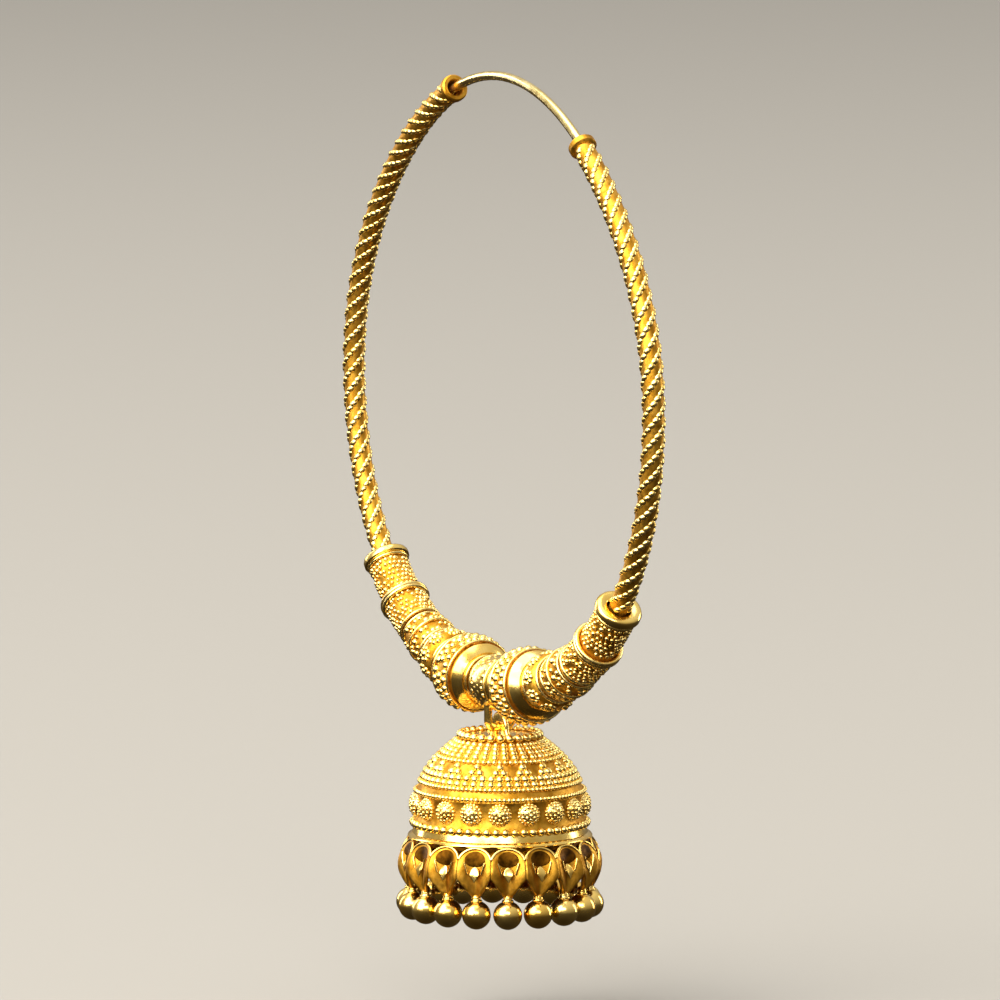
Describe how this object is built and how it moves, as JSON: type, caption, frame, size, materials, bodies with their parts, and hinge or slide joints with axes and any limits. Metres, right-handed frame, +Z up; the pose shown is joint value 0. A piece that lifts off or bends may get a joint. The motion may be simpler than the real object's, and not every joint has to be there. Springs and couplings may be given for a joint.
{
  "type": "hoop earring with bell drop",
  "caption": "Gold hoop earring: granulated tube with a plain ear wire, filigree beads and balls at the bottom, and a hanging bell with a fringe of petals and balls",
  "frame": {"origin": "top of the ear wire's centre line, where the earring hangs on the ear", "axes": "+Z up, hoop in the XZ plane, +Y through the hoop, bell below the origin on the Z axis"},
  "size_m": [0.056, 0.018, 0.0733],
  "materials": {
    "granulated_gold": "yellow gold with granulation and filigree, polished on its plain bands",
    "wire_gold": "polished pale gold wire"
  },
  "bodies": {
    "hoop": {"hoop_tube": "granulated_gold", "ear_wire": "wire_gold", "ball_left": "granulated_gold", "ball_right": "granulated_gold", "collar_bead_left": "granulated_gold", "collar_bead_right": "granulated_gold", "small_bead_left": "granulated_gold", "small_bead_right": "granulated_gold", "sleeve_left": "granulated_gold", "sleeve_right": "granulated_gold"},
    "hanger": {"hanger_bead": "granulated_gold"},
    "drop": {"bell": "granulated_gold"}
  },
  "joints": [
    {"name": "hanger_turn", "type": "hinge", "parent": "hoop", "child": "hanger", "pos_m": [0, 0, -0.05251], "axis": [1, 0, 0], "range_deg": [-90, 90]},
    {"name": "bell_swing", "type": "hinge", "parent": "hanger", "child": "drop", "pos_m": [0, 0, -0.05633], "axis": [0, 1, 0], "range_deg": [-8, 8]}
  ]
}
